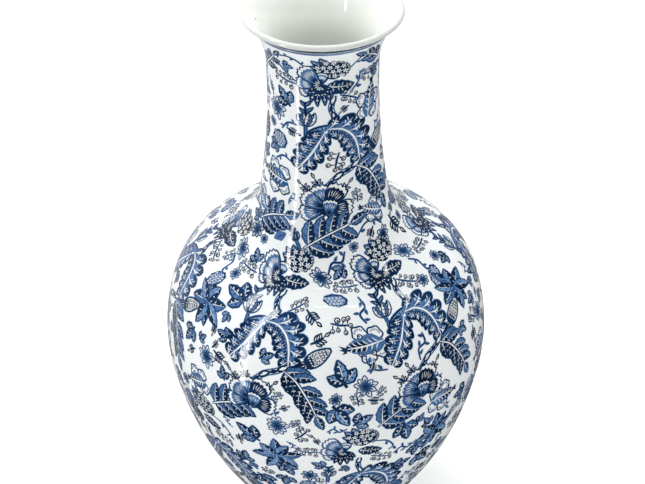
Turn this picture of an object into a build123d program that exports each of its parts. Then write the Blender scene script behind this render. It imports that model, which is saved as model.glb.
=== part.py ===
"""Large bottle vase: a pot luted together from clay sections, then printed and glazed.

Frame: millimetres, +Z up along the pot's axis, origin at the centre of the foot's underside.
Every piece is a body of revolution. The whole pot shares one half section, drawn in the plane
of radius and height, and each piece keeps its own share of it.
"""

import os
from math import asin, atan2, copysign, cos, degrees

from build123d import *

os.makedirs("parts", exist_ok=True)

# Overall
HEIGHT = 480.0
WALL = 6.0
REACH = 200.0  # wider than the pot, for trimming

# Layers, counted inwards from the glazed surface
PRINT_DEPTH = 0.6  # clear glaze lies over the print
COAT = 0.8  # the clay starts here
COAT_SPLIT = 1.2  # divides the outer coat from the inner one, inside the clay

# Rolled lip
LIP_RADIUS = 2.1
LIP_Z = HEIGHT - LIP_RADIUS

# Throat, the narrowest part of the neck: a short true cylinder
THROAT_RADIUS = 41.0
THROAT_TOP = 438.0
THROAT_BOTTOM = 426.0

# Mouth, flaring from the throat up to the lip
FLARE_RADIUS = 60.0
FLARE_TURN = asin((LIP_Z - THROAT_TOP) / FLARE_RADIUS)
LIP_CENTRE = (THROAT_RADIUS + FLARE_RADIUS * (1 - cos(FLARE_TURN)), LIP_Z)

# Outside below the throat: tangent arcs (radius, turn in degrees), a positive turn flares out
NECK_ARC = (600.0, 9.1)
FILLET_ARC = (62.5, 55.1)
SHOULDER_ARC = (77.0, -46.9)
BELLY_ARC = (151.0, -25.5)
TAPER_ARC = (327.0, -28.5)
BODY_ARCS = (NECK_ARC, FILLET_ARC, SHOULDER_ARC, BELLY_ARC, TAPER_ARC)
TAPER_ANGLE = -sum(turn for _, turn in BODY_ARCS)  # lean of the wall where the taper ends

# Foot and floor
FOOT_FILLET = 8.0
FOOT_INNER_RADIUS = 55.0
FOOT_BARE = 4.5  # the glaze stops this far above the table
BASE_Z = 10.0  # glazed underside, recessed inside the foot
FLOOR_ROUND = 22.0  # inside corner between wall and floor

# Luted joints, each filled by a film of slip
SLIP = 0.8
TONGUE = 5.0  # the lower section's tongue reaches this far up inside the upper one
FOOT_SEAM_Z = BASE_Z
BELLY_SEAM = (127.0, 186.0)  # radius of the step, height of the outer edge
SHOULDER_SEAM = (48.2, 318.0)
LIP_SEAM_Z = 468.0

# Printed layers, by height
BODY_PRINT = (22.0, 318.0)
NECK_PRINT = (318.0, 466.5)
FINE_LINE = (468.8, 470.2)
DARK_LINE = (471.5, 473.6)


def wall_line(radius, depth):
    """Draw the throat and the arcs below it, `depth` in from the outside. Returns the last arc."""
    wall = Line((radius, THROAT_TOP), (radius, THROAT_BOTTOM))
    for arc_radius, turn in BODY_ARCS:
        wall = JernArc(wall @ 1, wall % 1, arc_radius + copysign(depth, turn), turn)
    return wall


def outside_line(depth):
    """Draw the outer line from lip height to the table, `depth` under the glazed surface."""
    radius = THROAT_RADIUS - depth
    flare_radius = FLARE_RADIUS + depth
    flare_turn = degrees(asin((LIP_Z - THROAT_TOP) / flare_radius))
    flare = JernArc((radius, THROAT_TOP), (0, 1), flare_radius, -flare_turn)
    wall = wall_line(radius, depth)
    fillet = JernArc(wall @ 1, wall % 1, FOOT_FILLET + depth, TAPER_ANGLE)
    foot = Line(fillet @ 1, ((fillet @ 1).X, 0))
    return flare @ 1, foot @ 1


def inside_line(depth):
    """Draw the inner line from the lip to the middle of the floor, `depth` under its glaze."""
    radius = THROAT_RADIUS - WALL
    overhang = LIP_CENTRE[0] - radius
    rise = LIP_Z - THROAT_TOP
    # The flare runs tangent into the rolled lip.
    flare_radius = (overhang**2 + rise**2 - LIP_RADIUS**2) / (2 * (overhang - LIP_RADIUS))
    flare_turn = degrees(atan2(rise, flare_radius - overhang))
    flare = JernArc((radius + depth, THROAT_TOP), (0, 1), flare_radius - depth, -flare_turn)
    wall = wall_line(radius + depth, WALL - depth)
    corner = JernArc(wall @ 1, wall % 1, FLOOR_ROUND + depth, TAPER_ANGLE - 90)
    floor = Line(corner @ 1, (0, (corner @ 1).Y))
    return flare @ 1, floor @ 1


def pot_section(depth, mode=Mode.ADD):
    """Half section of the pot, `depth` under its glazed surface."""
    base_z = BASE_Z + depth
    with BuildLine() as outline:
        mouth_out, foot_out = outside_line(depth)
        mouth_in, floor_middle = inside_line(depth)
        Polyline(mouth_out, LIP_CENTRE, mouth_in)
        Polyline(
            floor_middle,
            (0, base_z),
            (FOOT_INNER_RADIUS, base_z),
            (FOOT_INNER_RADIUS, 0),
            foot_out,
        )
    make_face(outline.edges(), mode=mode)
    with Locations(LIP_CENTRE):
        Circle(LIP_RADIUS - depth, mode=mode)


def core_section(depth, mode):
    """Everything between the axis and the outer line `depth` under the surface."""
    with BuildLine() as outline:
        mouth_out, foot_out = outside_line(depth)
        Polyline(mouth_out, LIP_CENTRE, (LIP_CENTRE[0], HEIGHT), (0, HEIGHT), (0, 0), foot_out)
    make_face(outline.edges(), mode=mode)


def band(low, high, mode):
    """A level band across the whole pot."""
    with Locations((0, (low + high) / 2)):
        Rectangle(2 * REACH, high - low, mode=mode)


def seam_region(seam, offset, far_z):
    """Trim to one side of a stepped joint: the side towards far_z, offset from the seam line."""
    seam_r, seam_z = seam
    step_r = seam_r + offset
    edge_z = seam_z + max(0, 2 * offset)
    step_z = edge_z + TONGUE
    with BuildLine() as outline:
        Polyline(
            (0, far_z),
            (REACH, far_z),
            (REACH, edge_z),
            (step_r, edge_z),
            (step_r, step_z),
            (0, step_z),
            close=True,
        )
    make_face(outline.edges(), mode=Mode.INTERSECT)


def keep_below(seam):
    """Trim to the section under a stepped joint, which carries the tongue."""
    seam_region(seam, -SLIP / 2, 0)


def keep_above(seam):
    """Trim to the section over a stepped joint, a film of slip away from the tongue."""
    seam_region(seam, SLIP / 2, HEIGHT)


def slip_film(seam):
    """Trim to the film of slip in a stepped joint."""
    seam_r, seam_z = seam
    inner_r = seam_r - SLIP / 2
    outer_r = seam_r + SLIP / 2
    tongue_z = seam_z + TONGUE
    with BuildLine() as outline:
        Polyline(
            (0, tongue_z),
            (inner_r, tongue_z),
            (inner_r, seam_z),
            (REACH, seam_z),
            (REACH, seam_z + SLIP),
            (outer_r, seam_z + SLIP),
            (outer_r, tongue_z + SLIP),
            (0, tongue_z + SLIP),
            close=True,
        )
    make_face(outline.edges(), mode=Mode.INTERSECT)


def printed_layer(low, high):
    """Section of the thin printed layer between clay and glaze."""
    band(low, high, Mode.ADD)
    core_section(PRINT_DEPTH, Mode.INTERSECT)
    core_section(COAT, Mode.SUBTRACT)


# Foot ring: bare clay where it stands on the table
with BuildPart() as foot_ring:
    with BuildSketch(Plane.XZ):
        pot_section(COAT)
        band(0, FOOT_SEAM_Z, Mode.INTERSECT)
    revolve(axis=Axis.Z)
foot_ring.part.label = "foot_ring"
export_step(foot_ring.part, "parts/foot_ring.step")

# Slip between foot ring and body
with BuildPart() as foot_slip:
    with BuildSketch(Plane.XZ):
        pot_section(COAT)
        band(FOOT_SEAM_Z, FOOT_SEAM_Z + SLIP, Mode.INTERSECT)
    revolve(axis=Axis.Z)
foot_slip.part.label = "foot_slip"
export_step(foot_slip.part, "parts/foot_slip.step")

# Lower body: the floor and the bowl, up to a tongue at the belly
with BuildPart() as lower_body:
    with BuildSketch(Plane.XZ):
        pot_section(COAT)
        band(FOOT_SEAM_Z + SLIP, HEIGHT, Mode.INTERSECT)
        keep_below(BELLY_SEAM)
    revolve(axis=Axis.Z)
lower_body.part.label = "lower_body"
export_step(lower_body.part, "parts/lower_body.step")

# Slip in the belly joint
with BuildPart() as belly_slip:
    with BuildSketch(Plane.XZ):
        pot_section(COAT)
        slip_film(BELLY_SEAM)
    revolve(axis=Axis.Z)
belly_slip.part.label = "belly_slip"
export_step(belly_slip.part, "parts/belly_slip.step")

# Upper body: the dome from the belly to the shoulder
with BuildPart() as upper_body:
    with BuildSketch(Plane.XZ):
        pot_section(COAT)
        keep_above(BELLY_SEAM)
        keep_below(SHOULDER_SEAM)
    revolve(axis=Axis.Z)
upper_body.part.label = "upper_body"
export_step(upper_body.part, "parts/upper_body.step")

# Slip in the shoulder joint
with BuildPart() as shoulder_slip:
    with BuildSketch(Plane.XZ):
        pot_section(COAT)
        slip_film(SHOULDER_SEAM)
    revolve(axis=Axis.Z)
shoulder_slip.part.label = "shoulder_slip"
export_step(shoulder_slip.part, "parts/shoulder_slip.step")

# Neck: from the shoulder joint through the throat to the mouth
with BuildPart() as neck:
    with BuildSketch(Plane.XZ):
        pot_section(COAT)
        keep_above(SHOULDER_SEAM)
        band(0, LIP_SEAM_Z, Mode.INTERSECT)
    revolve(axis=Axis.Z)
neck.part.label = "neck"
export_step(neck.part, "parts/neck.step")

# Slip under the lip
with BuildPart() as lip_slip:
    with BuildSketch(Plane.XZ):
        pot_section(COAT)
        band(LIP_SEAM_Z, LIP_SEAM_Z + SLIP, Mode.INTERSECT)
    revolve(axis=Axis.Z)
lip_slip.part.label = "lip_slip"
export_step(lip_slip.part, "parts/lip_slip.step")

# Lip: a coil luted on the mouth and rolled over
with BuildPart() as rolled_lip:
    with BuildSketch(Plane.XZ):
        pot_section(COAT)
        band(LIP_SEAM_Z + SLIP, HEIGHT, Mode.INTERSECT)
    revolve(axis=Axis.Z)
rolled_lip.part.label = "rolled_lip"
export_step(rolled_lip.part, "parts/rolled_lip.step")

# Printed floral layer on the body
with BuildPart() as body_print:
    with BuildSketch(Plane.XZ):
        printed_layer(*BODY_PRINT)
    revolve(axis=Axis.Z)
body_print.part.label = "body_print"
export_step(body_print.part, "parts/body_print.step")

# Printed floral layer on the neck
with BuildPart() as neck_print:
    with BuildSketch(Plane.XZ):
        printed_layer(*NECK_PRINT)
    revolve(axis=Axis.Z)
neck_print.part.label = "neck_print"
export_step(neck_print.part, "parts/neck_print.step")

# Fine cobalt line under the lip
with BuildPart() as fine_line:
    with BuildSketch(Plane.XZ):
        printed_layer(*FINE_LINE)
    revolve(axis=Axis.Z)
fine_line.part.label = "fine_line"
export_step(fine_line.part, "parts/fine_line.step")

# Dark cobalt line under the lip
with BuildPart() as dark_line:
    with BuildSketch(Plane.XZ):
        printed_layer(*DARK_LINE)
    revolve(axis=Axis.Z)
dark_line.part.label = "dark_line"
export_step(dark_line.part, "parts/dark_line.step")

# Outer glaze: from the top of the lip down to the bare foot, over the prints
with BuildSketch() as printed_zones:
    for zone in (BODY_PRINT, NECK_PRINT, FINE_LINE, DARK_LINE):
        band(*zone, Mode.ADD)
    core_section(PRINT_DEPTH, Mode.INTERSECT)
with BuildPart() as outer_glaze:
    with BuildSketch(Plane.XZ):
        pot_section(0)
        pot_section(COAT, Mode.SUBTRACT)
        core_section(COAT_SPLIT, Mode.SUBTRACT)
        band(FOOT_BARE, HEIGHT, Mode.INTERSECT)
        add(printed_zones.sketch, mode=Mode.SUBTRACT)
    revolve(axis=Axis.Z)
outer_glaze.part.label = "outer_glaze"
export_step(outer_glaze.part, "parts/outer_glaze.step")

# Inner glaze: from the top of the lip down the throat and over the floor
with BuildPart() as inner_glaze:
    with BuildSketch(Plane.XZ):
        pot_section(0)
        pot_section(COAT, Mode.SUBTRACT)
        core_section(COAT_SPLIT, Mode.INTERSECT)
        band(BASE_Z + 2 * COAT, HEIGHT, Mode.INTERSECT)
    revolve(axis=Axis.Z)
inner_glaze.part.label = "inner_glaze"
export_step(inner_glaze.part, "parts/inner_glaze.step")

# Base glaze: the recessed disc inside the foot ring
with BuildPart() as base_glaze:
    with BuildSketch(Plane.XY.offset(BASE_Z)):
        Circle(FOOT_INNER_RADIUS)
    extrude(amount=COAT)
base_glaze.part.label = "base_glaze"
export_step(base_glaze.part, "parts/base_glaze.step")
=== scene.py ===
"""Looks for the floral pottery vase: glaze, cobalt print, lines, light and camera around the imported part."""

import math
import random

import bpy
import numpy as np
from mathutils import Matrix, Quaternion, Vector
from mathutils.geometry import delaunay_2d_cdt


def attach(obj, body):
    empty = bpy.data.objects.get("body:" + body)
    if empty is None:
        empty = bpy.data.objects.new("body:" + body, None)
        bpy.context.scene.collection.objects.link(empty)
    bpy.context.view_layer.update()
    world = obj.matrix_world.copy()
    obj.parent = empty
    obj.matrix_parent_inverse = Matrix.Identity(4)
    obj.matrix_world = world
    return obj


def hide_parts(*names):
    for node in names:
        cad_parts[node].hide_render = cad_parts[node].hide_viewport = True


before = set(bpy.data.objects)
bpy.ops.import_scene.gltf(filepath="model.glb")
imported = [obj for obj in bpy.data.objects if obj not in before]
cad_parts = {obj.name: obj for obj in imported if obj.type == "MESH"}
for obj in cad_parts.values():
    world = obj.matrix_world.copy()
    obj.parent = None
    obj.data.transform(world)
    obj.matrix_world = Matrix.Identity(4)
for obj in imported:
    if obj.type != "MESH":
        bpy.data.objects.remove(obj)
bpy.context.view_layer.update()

MM = 0.001

# ---- outside profile of the vase, in millimetres -------------------------------------------

LIP_RADIUS = 2.1
LIP_CENTRE_Z = 477.9
THROAT_RADIUS = 41.0
THROAT_TOP_Z = 438.0
THROAT_BOTTOM_Z = 426.0
FLARE_RADIUS = 60.0
# (radius, turn in degrees) of each arc from the throat down; a turn to the left is hollow
BODY_ARCS = ((600.0, 9.1), (62.5, 55.1), (77.0, -46.9), (151.0, -25.5), (327.0, -28.5))
FOOT_FILLET = 8.0
FOOT_GLAZE_Z = 4.5
WALL = 6.0
FLOOR_ROUND = 22.0
GLAZE_DEPTH = 0.7


def runs_of(path):
    """How far along a path each of its points lies."""
    return np.r_[0, np.cumsum(np.hypot(*np.diff(path, axis=0).T))]


def flare_points(bore, radius, turn, steps):
    """(r, z) points down a flare, from this turn to upright at the top of the throat."""
    turns = [turn * (1 - k / steps) for k in range(1, steps + 1)]
    return [(bore + radius * (1 - math.cos(a)), THROAT_TOP_Z + radius * math.sin(a)) for a in turns]


def arc_to(points, heading, radius, degrees, steps=120):
    """Carry the (r, z) points on round one arc. Returns the heading at its end, 0 being straight down."""
    end = heading + math.radians(degrees)
    reach = math.copysign(radius, degrees)
    r, z = points[-1]
    for k in range(1, steps + 1):
        turn = heading + (end - heading) * k / steps
        across, down = math.cos(heading) - math.cos(turn), math.sin(turn) - math.sin(heading)
        points.append((r + reach * across, z - reach * down))
    return end


def outside_profile():
    """(r, z) points down the outside, from the centre of the lip's bead to the end of the glaze."""
    flare_turn = math.asin((LIP_CENTRE_Z - THROAT_TOP_Z) / FLARE_RADIUS)
    lip_r = THROAT_RADIUS + FLARE_RADIUS * (1 - math.cos(flare_turn))
    points = [(lip_r, LIP_CENTRE_Z)] + flare_points(THROAT_RADIUS, FLARE_RADIUS, flare_turn, 60)
    points += [(THROAT_RADIUS, z) for z in np.linspace(THROAT_TOP_Z, THROAT_BOTTOM_Z, 9)[1:]]
    heading = 0.0
    for radius, degrees in BODY_ARCS:
        heading = arc_to(points, heading, radius, degrees)
    arc_to(points, heading, FOOT_FILLET, -math.degrees(heading), 20)
    points.append((points[-1][0], FOOT_GLAZE_Z))
    return np.array(points)


PROFILE = outside_profile()
RUN = runs_of(PROFILE)
SLOPE_R = np.gradient(PROFILE[:, 0], RUN)
SLOPE_Z = np.gradient(PROFILE[:, 1], RUN)
FOOT_RUN = FOOT_FILLET * math.radians(-sum(degrees for _, degrees in BODY_ARCS))
WALL_END = RUN[-2] - FOOT_RUN

# (waves in a full turn, radians per millimetre of run, height in millimetres, phase)
THROWING_WAVES = ((3, 0.045, 0.10, 0.4), (5, 0.028, 0.06, 2.1), (2, 0.060, 0.08, 4.0), (7, 0.085, 0.035, 1.2))


def radius_at(s):
    """The outside radius at a run, in millimetres."""
    return np.interp(s, RUN, PROFILE[:, 0])


def waviness(theta, s):
    """How far the hand-finished surface stands from the true form, in millimetres."""
    total = np.zeros(np.broadcast(theta, s).shape)
    for turns, pitch, height, phase in THROWING_WAVES:
        total = total + height * np.sin(turns * theta + phase) * np.sin(pitch * s + 1.7 * phase)
    return total


def surface(theta, s, lift=0.0):
    """Points in millimetres on the outside at angle theta and run s down from the lip."""
    r, z = radius_at(s), np.interp(s, RUN, PROFILE[:, 1])
    out_r = -np.interp(s, RUN, SLOPE_Z)
    out_z = np.interp(s, RUN, SLOPE_R)
    size = np.hypot(out_r, out_z)
    rise = waviness(theta, s) * np.clip((s - 20) / 30, 0, 1) + lift
    r = r + out_r / size * rise
    z = z + out_z / size * rise
    return np.stack([r * np.sin(theta), -r * np.cos(theta), z], axis=-1)


def surface_normals(theta, s):
    """Unit outward normals of surface()."""
    nudge_t, nudge_s = 0.01, 0.8
    across = surface(theta + nudge_t, s) - surface(theta - nudge_t, s)
    down = surface(theta, s + nudge_s) - surface(theta, s - nudge_s)
    normal = np.cross(down, across)
    return normal / np.linalg.norm(normal, axis=-1, keepdims=True)


def run_at_height(z):
    """The run s of a height on the flare and neck, in millimetres."""
    return float(np.interp(-z, -PROFILE[:, 1], RUN))


# ---- drawing kit: shapes on flat paper, in millimetres, y up --------------------------------

WASH, MID, DARK, BARE = "wash", "mid", "dark", "bare"
BLEED = "bleed"
TONES = (BARE, WASH, MID, DARK)
TINY = 1e-9
SAME_SPOT = 1e-6
FINEST = 0.06  # how far a thinned outline may leave the drawn one
BLEED_FINEST = 0.16
BLEED_REACH = 0.42  # how far dark ink ran into the glaze
BOLD = 1.6  # pen lines are drawn this much wider than written


def smooth(points, samples=6):
    """A smooth curve through the points."""
    p = np.asarray(points, float)
    p = np.vstack([2 * p[0] - p[1], p, 2 * p[-1] - p[-2]])
    t = np.linspace(0, 1, samples, endpoint=False)[:, None]
    runs = []
    for a, b, c, d in zip(p, p[1:], p[2:], p[3:]):
        cubic = 3 * b - a - 3 * c + d
        runs.append(0.5 * (2 * b + (c - a) * t + (2 * a - 5 * b + 4 * c - d) * t**2 + cubic * t**3))
    return np.vstack(runs + [p[-2:-1]])


def smooth_loop(points, samples=4):
    """A smooth closed outline through the points."""
    p = [tuple(q) for q in points]
    looped = smooth(p[-2:] + p + p[:2], samples)
    return looped[2 * samples : -2 * samples]


def sides_of(points):
    """Unit left-hand normals along a line."""
    d = np.gradient(np.asarray(points, float), axis=0)
    d /= np.maximum(np.hypot(d[:, 0], d[:, 1]), TINY)[:, None]
    return np.column_stack([-d[:, 1], d[:, 0]])


def evenly(path, count):
    """The path as this many points at equal distances."""
    run = runs_of(path)
    at = np.linspace(0, run[-1], count)
    return np.column_stack([np.interp(at, run, path[:, 0]), np.interp(at, run, path[:, 1])])


def ring(x, y, radius, angles):
    """Points about a centre, at one radius or at one each; angles in radians."""
    return np.column_stack([x + radius * np.cos(angles), y + radius * np.sin(angles)])


def thinned(points, closed, finest):
    """Indices of the points that matter to the outline's shape."""
    p = np.asarray(points, float)
    keep = np.zeros(len(p), bool)
    keep[[0, -1]] = True
    spans = [(0, len(p) - 1)]
    if closed:
        far = int(np.argmax(np.hypot(*(p - p[0]).T)))
        keep[far] = True
        spans = [(0, far), (far, len(p) - 1)]
    while spans:
        a, b = spans.pop()
        if b - a < 2:
            continue
        along = p[b] - p[a]
        away = p[a + 1 : b] - p[a]
        size = np.hypot(*along)
        if size < TINY:
            gap = np.hypot(*away.T)
        else:
            gap = np.abs(along[0] * away[:, 1] - along[1] * away[:, 0]) / size
        k = int(np.argmax(gap))
        if gap[k] > finest:
            keep[a + 1 + k] = True
            spans += [(a, a + 1 + k), (a + 1 + k, b)]
    return np.flatnonzero(keep)


class Pen:
    """Draws filled shapes into a shared list, moved, turned and scaled."""

    def __init__(self, shapes, x=0.0, y=0.0, turn=0.0, scale=1.0):
        self.shapes = shapes
        self.x, self.y, self.turn, self.scale = x, y, turn, scale

    def at(self, x, y, turn=0.0, scale=1.0):
        """A pen whose paper lies at (x, y) on this one's, turned by degrees."""
        here = self.on_sheet([(x, y)])[0]
        return Pen(self.shapes, here[0], here[1], self.turn + turn, self.scale * scale)

    def on_sheet(self, points):
        p = np.asarray(points, float) * self.scale
        c, s = math.cos(math.radians(self.turn)), math.sin(math.radians(self.turn))
        return np.column_stack([self.x + c * p[:, 0] - s * p[:, 1], self.y + s * p[:, 0] + c * p[:, 1]])

    def fill(self, tone, outline):
        p = self.on_sheet(outline)
        self.shapes.append((tone, p[thinned(p, True, FINEST)]))

    def line(self, tone, points, width, ends=0.25):
        """A pen line: full width in the middle, thinning to `ends` of it at both ends. Dark ink bleeds."""
        p = self.on_sheet(points)
        closed = bool(np.hypot(*(p[0] - p[-1])) < SAME_SPOT)
        t = np.linspace(0, 1, len(p))
        half = BOLD * width / 2 * self.scale * (ends + (1 - ends) * np.sin(math.pi * t) ** 0.6)
        inks = [(tone, 0.0, FINEST)]
        if tone == DARK:
            inks.append((BLEED, BLEED_REACH, BLEED_FINEST))
        for ink, past, finest in inks:
            keep = thinned(p, closed, finest)
            reach = sides_of(p) * (half + past)[:, None]
            self.shapes.append((ink, np.vstack([(p + reach)[keep], (p - reach)[keep][::-1]])))

    def rim(self, outline, width):
        """An even dark line round a closed outline."""
        self.line(DARK, np.vstack([outline, outline[:1]]), width, ends=1.0)

    def along(self, path, i, turn=0.0):
        """A pen at point i of a path, turned from the way the path runs there."""
        return self.at(path[i][0], path[i][1], heading_at(path, i) + turn)

    def stroke(self, tone, start, end, width, bow=0.0):
        """A short hatch stroke, thickest in its middle, bowed to its left by a share of its length."""
        a, b = np.asarray(start, float), np.asarray(end, float)
        left = np.array([a[1] - b[1], b[0] - a[0]])
        size = max(float(np.hypot(*left)), SAME_SPOT)
        middle = (a + b) / 2 + left * bow
        side = left / size * BOLD * width / 2
        self.shapes.append((tone, self.on_sheet([a, middle + side, b, middle - side])))

    def dot(self, tone, x, y, radius, sides=8):
        angles = np.linspace(0, 2 * math.pi, sides, endpoint=False)
        self.shapes.append((tone, self.on_sheet(ring(x, y, radius, angles))))

    def berry(self, x, y, radius, heart=DARK):
        """A round fruit: dark rim, bare shine and a dark heart."""
        self.dot(DARK, x, y, radius, 9)
        self.dot(BARE, x, y, radius * 0.60, 7)
        self.dot(heart, x + radius * 0.12, y - radius * 0.12, radius * 0.36, 6)


def arc_spine(length, bend, count):
    """Points along a stem of this length that turns by `bend` degrees as it goes."""
    heading = np.radians(bend) * (np.linspace(0, 1, count + 1) - 0.5)
    steps = np.column_stack([np.cos(heading[1:]), np.sin(heading[1:])]) * length / count
    return np.vstack([(0, 0), np.cumsum(steps, axis=0)])


def heading_at(path, i):
    """Direction of a path at point i, in degrees."""
    d = path[min(i + 1, len(path) - 1)] - path[max(i - 1, 0)]
    return math.degrees(math.atan2(d[1], d[0]))


# ---- leaves ---------------------------------------------------------------------------------


def blade(pen, length, width, bend=20.0, teeth=5, left=MID, right=DARK, hatch=5, bite=0.22):
    """A pointed leaf along +x: two toothed halves either side of a bare midrib."""
    n = max(12, teeth * 4)
    t = np.linspace(0, 1, n + 1)
    spine = arc_spine(length, bend, n)
    normal = sides_of(spine)
    half = width / 2 * np.sin(math.pi * t**0.82) ** 0.8 * (1 - bite * ((t * teeth) % 1.0))
    gap = np.minimum(0.045 * width * (1 - t) + 0.05, half)
    for side, tone in ((1, left), (-1, right)):
        edge = spine + side * normal * half[:, None]
        inner = spine + side * normal * gap[:, None]
        pen.fill(tone, np.vstack([inner, edge[::-1]]))
        pen.line(DARK, edge, 0.5, ends=0.6)
        for k in range(hatch):
            i = int((k + 0.6) / (hatch + 0.6) * n)
            j = min(n, i + max(1, int(0.11 * n)))
            reach = 0.82 if k % 2 else 0.60
            end = inner[j] + (edge[j] - inner[j]) * reach
            pen.stroke(BARE if tone == DARK else DARK, inner[i], end, 0.5, -0.10 * side)
    if BARE in (left, right):
        pen.line(DARK, spine, 0.4, ends=0.4)


def oval_leaf(pen, length, tone=DARK):
    """A small plain leaf along +x with one vein."""
    half = length * 0.25
    pen.fill(tone, smooth_loop([(0, 0), (length * 0.5, half), (length, 0), (length * 0.45, -half)], 3))
    pen.stroke(BARE if tone == DARK else DARK, (length * 0.15, 0), (length * 0.8, 0), 0.45)


def acanthus(pen, path, dark_width=14.0, light_width=11.0, lobes=6):
    """A big curled leaf along a path: dark round lobes on its left, hatched light ones on its right."""
    steps = 8
    n = lobes * steps
    t = np.linspace(0, 1, n + 1)
    spine = evenly(smooth(path, 8), n + 1)
    normal = sides_of(spine)
    reach = np.sin(math.pi * (0.09 + 0.86 * t) ** 0.95) ** 0.5
    swell = np.sin(math.pi * ((t * lobes) % 1.0))
    lean = np.gradient(spine, axis=0) * n * 0.05 * swell[:, None]
    for side, width in ((1, dark_width), (-1, light_width)):
        half = width * reach * (0.58 + 0.48 * swell**0.6)
        edge = spine + lean + side * normal * half[:, None]
        inner = spine + side * normal * 0.35
        pen.fill(MID, np.vstack([inner, edge[::-1]]))
        share = 0.52 if side > 0 else 0.66
        deep = inner + (edge - inner) * (share + 0.12 * swell)[:, None]
        pen.fill(DARK, np.vstack([deep, edge[::-1]]))
        pen.line(DARK, edge, 0.75, ends=0.9)
        for k in range(lobes):
            root = k * steps + 1
            tip = min(n, root + int(steps * 0.62))
            far = inner[tip] + (edge[tip] - inner[tip]) * 0.86
            for h in (0.30, 0.55, 0.80):
                start = inner[root] + (far - inner[root]) * (h - 0.12)
                for way in (-1, 1):
                    at = min(n, max(0, tip + way * int(steps * 0.42)))
                    end = inner[at] + (edge[at] - inner[at]) * (h + 0.10)
                    pen.stroke(DARK if h < 0.5 else BARE, start, end, 0.62)
            pen.stroke(BARE, inner[root], far, 0.9, -0.12 * side)
            if side < 0:
                for shift in (1, 3, 6):
                    at = min(n, root + shift)
                    pen.stroke(DARK, inner[at], inner[at] * 0.4 + edge[min(n, at + 2)] * 0.6, 0.8)
    pen.line(BARE, spine, 0.9, ends=0.4)


def star_leaf(pen, size):
    """Leaflets round one point, each half dark and half lighter."""
    pale_first, dark_first, blue_first = (WASH, DARK), (DARK, MID), (MID, DARK)
    for k, (turn, halves) in enumerate((
        (96, blue_first), (58, pale_first), (16, dark_first), (-34, pale_first), (-82, dark_first),
        (-112, pale_first), (-168, blue_first), (142, pale_first),
    )):
        length = size * (1.0 - 0.16 * (k % 3 == 1))
        blade(pen.at(0, 0, turn), length, size * 0.46, 14 - 28 * (k % 2), 5, *halves, hatch=3)
    pen.dot(MID, 0, 0, size * 0.06)


def feather_leaf(pen, path, pairs=5, length=19.0, width=8.6, splay=38.0, lower=(DARK, DARK)):
    """Paired leaflets along a curved stalk, and one at its tip."""
    path = smooth(path, 6)
    last = len(path) - 1
    for k in range(pairs):
        i = int((k + 0.5) / (pairs + 0.4) * last)
        size = 1 - 0.22 * k / pairs
        for side, halves in ((1, (MID, DARK)), (-1, lower)):
            leaflet = pen.along(path, i, side * splay)
            blade(leaflet, length * size, width * size, -side * 22, 4, *halves, hatch=4)
    blade(pen.along(path, last), length * 0.72, width * 0.8, 8, 4, DARK, MID, hatch=3)
    pen.line(DARK, path, 1.5, ends=0.6)
    pen.line(BARE, path, 0.7, ends=0.5)


def eyed_leaf(pen, length=28.0, width=25.0):
    """A broad blue leaf along +x with bare scalloped lobes, eye spots and a claw at its tip."""
    for side in (1, -1):
        for turn, reach, root in ((40, 0.62, 0.24), (78, 0.60, 0.42), (118, 0.46, 0.26)):
            a = math.radians(turn) * side
            away = width * 0.5 * reach / 0.6
            tip = length * root + away * math.cos(a)
            x, y = tip - 0.25 * (tip - length * root), away * math.sin(a) * 0.72
            outline = []
            for k in range(22):
                b = 2 * math.pi * k / 22
                r = width * 0.21 * (1 + 0.10 * math.sin(5 * b))
                outline.append((x + r * math.cos(b), y + r * math.sin(b)))
            pen.fill(BARE, outline)
            pen.rim(outline, 0.6)
            for ray in a + np.radians(np.arange(-66, 67, 22)):
                start, end = ring(x, y, width * np.array([0.09, 0.17]), ray)
                pen.stroke(MID, start, end, 0.6)
    edge = [(0.22, 0.28), (0.6, 0.24), (0.88, 0.07)]
    heart = smooth_loop(np.array([(0, 0)] + edge + [(x, -y) for x, y in edge[::-1]]) * (length, width))
    pen.fill(MID, heart)
    pen.fill(DARK, heart * (0.55, 0.5) + (length * 0.40, 0))
    for k in range(6):
        x = length * (0.14 + 0.12 * k)
        for side in (1, -1):
            pen.stroke(BARE, (x, 0), (x + length * 0.12, side * width * 0.20), 0.6, -0.1 * side)
    for x, y in ((0.34, 0.27), (0.50, -0.27), (0.62, 0.22)):
        pen.berry(x * length, y * width, width * 0.085, MID)
    for turn in (-28, 0, 30):
        pen.at(length * 0.86, 0, turn).stroke(DARK, (0, 0), (length * 0.20, 0), 1.2, 0.1)
    pen.line(BARE, smooth([(0, 0), (length * 0.5, 0.6), (length * 0.86, 0)]), 0.8, ends=0.5)


def trefoil(pen, length, halves):
    """Three toothed leaflets from the end of one short stalk."""
    pen.line(DARK, [(-length * 0.25, -0.4), (-length * 0.1, 0), (0, 0)], 0.8, ends=0.8)
    for turn, share in ((54, 0.74), (-54, 0.74), (0, 1.0)):
        blade(pen.at(0, 0, turn), length * share, length * 0.52, -turn * 0.3, 3, *halves, hatch=3)


# ---- flowers and fruit ----------------------------------------------------------------------


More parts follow.
